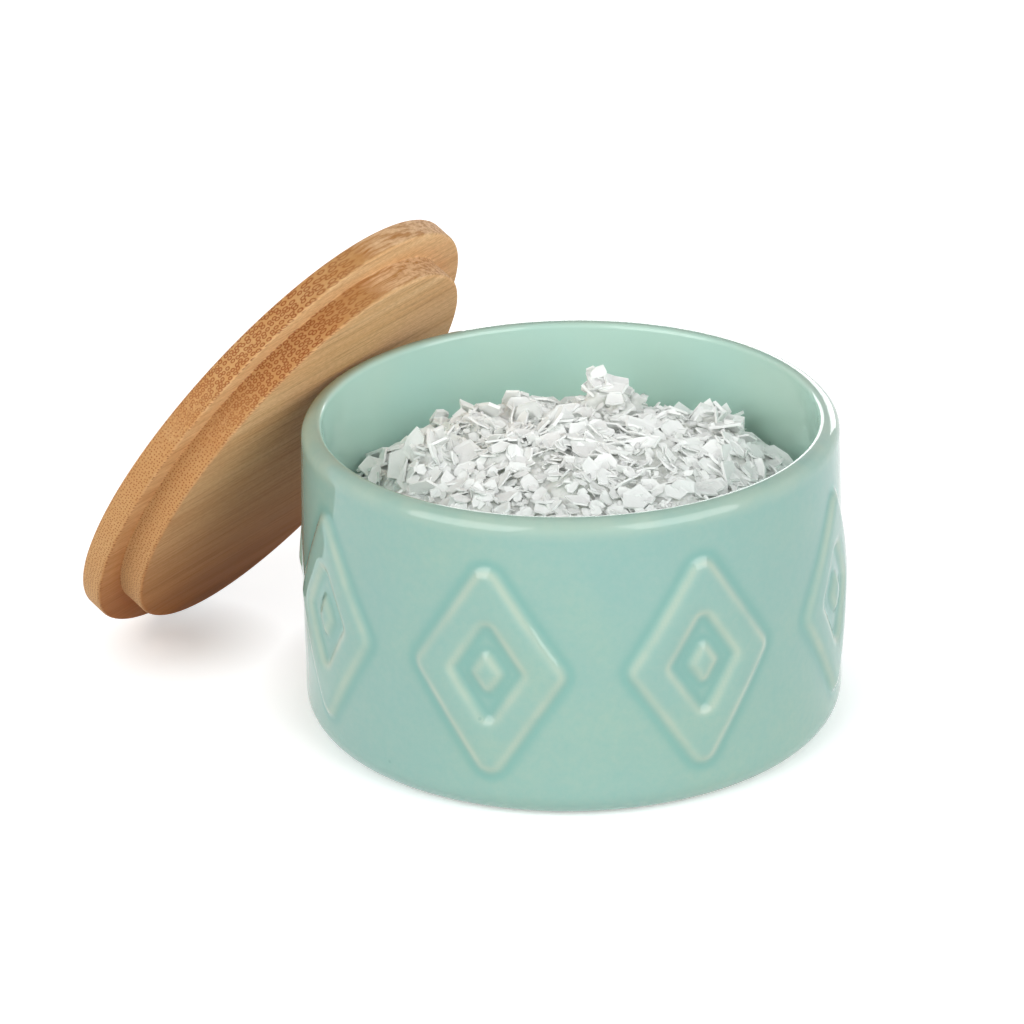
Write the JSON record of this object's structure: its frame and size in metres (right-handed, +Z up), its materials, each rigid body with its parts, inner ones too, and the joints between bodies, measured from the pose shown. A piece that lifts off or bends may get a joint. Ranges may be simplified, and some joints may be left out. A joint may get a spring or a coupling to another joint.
{
  "type": "salt cellar with lid",
  "caption": "Round glazed stoneware salt cellar heaped with flake salt, with its loose turned bamboo plug lid leaning on the rim.",
  "frame": {"origin": "centre of the pot's flat foot, on the table", "axes": "+Z up along the pot's axis; the lid leans on the rim on the -X side, so X is the longest extent"},
  "size_m": [0.1605, 0.1122, 0.0931],
  "materials": {
    "celadon_glaze": "gloss",
    "flake_salt": "satin",
    "bamboo": "satin"
  },
  "bodies": {
    "pot": {"pot": "celadon_glaze", "salt": "flake_salt"},
    "lid": {"lid": "bamboo"}
  },
  "joints": [
    {"name": "lid_lift", "type": "slide", "parent": "pot", "child": "lid", "axis": [0, 0, 1], "range_m": [0, 0.09]}
  ]
}
